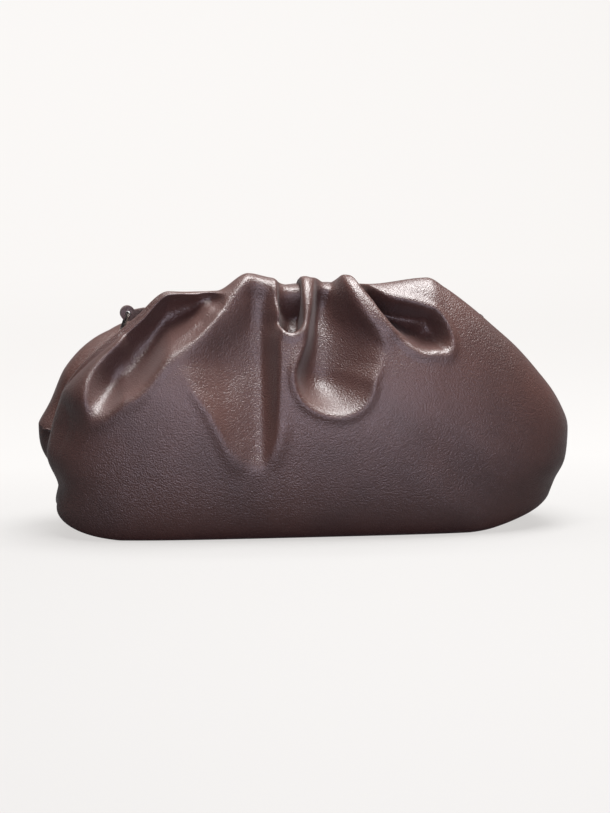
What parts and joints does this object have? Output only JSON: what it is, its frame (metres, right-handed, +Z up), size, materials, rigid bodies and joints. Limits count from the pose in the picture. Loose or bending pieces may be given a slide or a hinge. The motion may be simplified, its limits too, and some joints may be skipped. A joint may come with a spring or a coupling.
{
  "type": "cloud pouch bag",
  "caption": "Soft gathered leather clutch with deep folds over a closed frame bar, standing on a flat base, with a small strap ring at each end.",
  "frame": {"origin": "under the middle of the pouch, on the surface that it stands on", "axes": "+X along the pouch to the viewer's right, -Y towards the folded front face, +Z up"},
  "size_m": [0.3596, 0.1386, 0.1749],
  "materials": {
    "leather": "soft smooth nappa with a fine pebble and a satin sheen",
    "frame_leather": "thin leather pulled tight over the bar, satin",
    "tab_leather": "smooth leather strip, satin",
    "metal": "brushed dark metal with a soft shine"
  },
  "bodies": {
    "root": {"pouch_body": "leather", "mouth_frame": "frame_leather", "ring_tab_left": "tab_leather", "ring_tab_right": "tab_leather", "strap_ring_left": "metal", "strap_ring_right": "metal"}
  },
  "joints": []
}
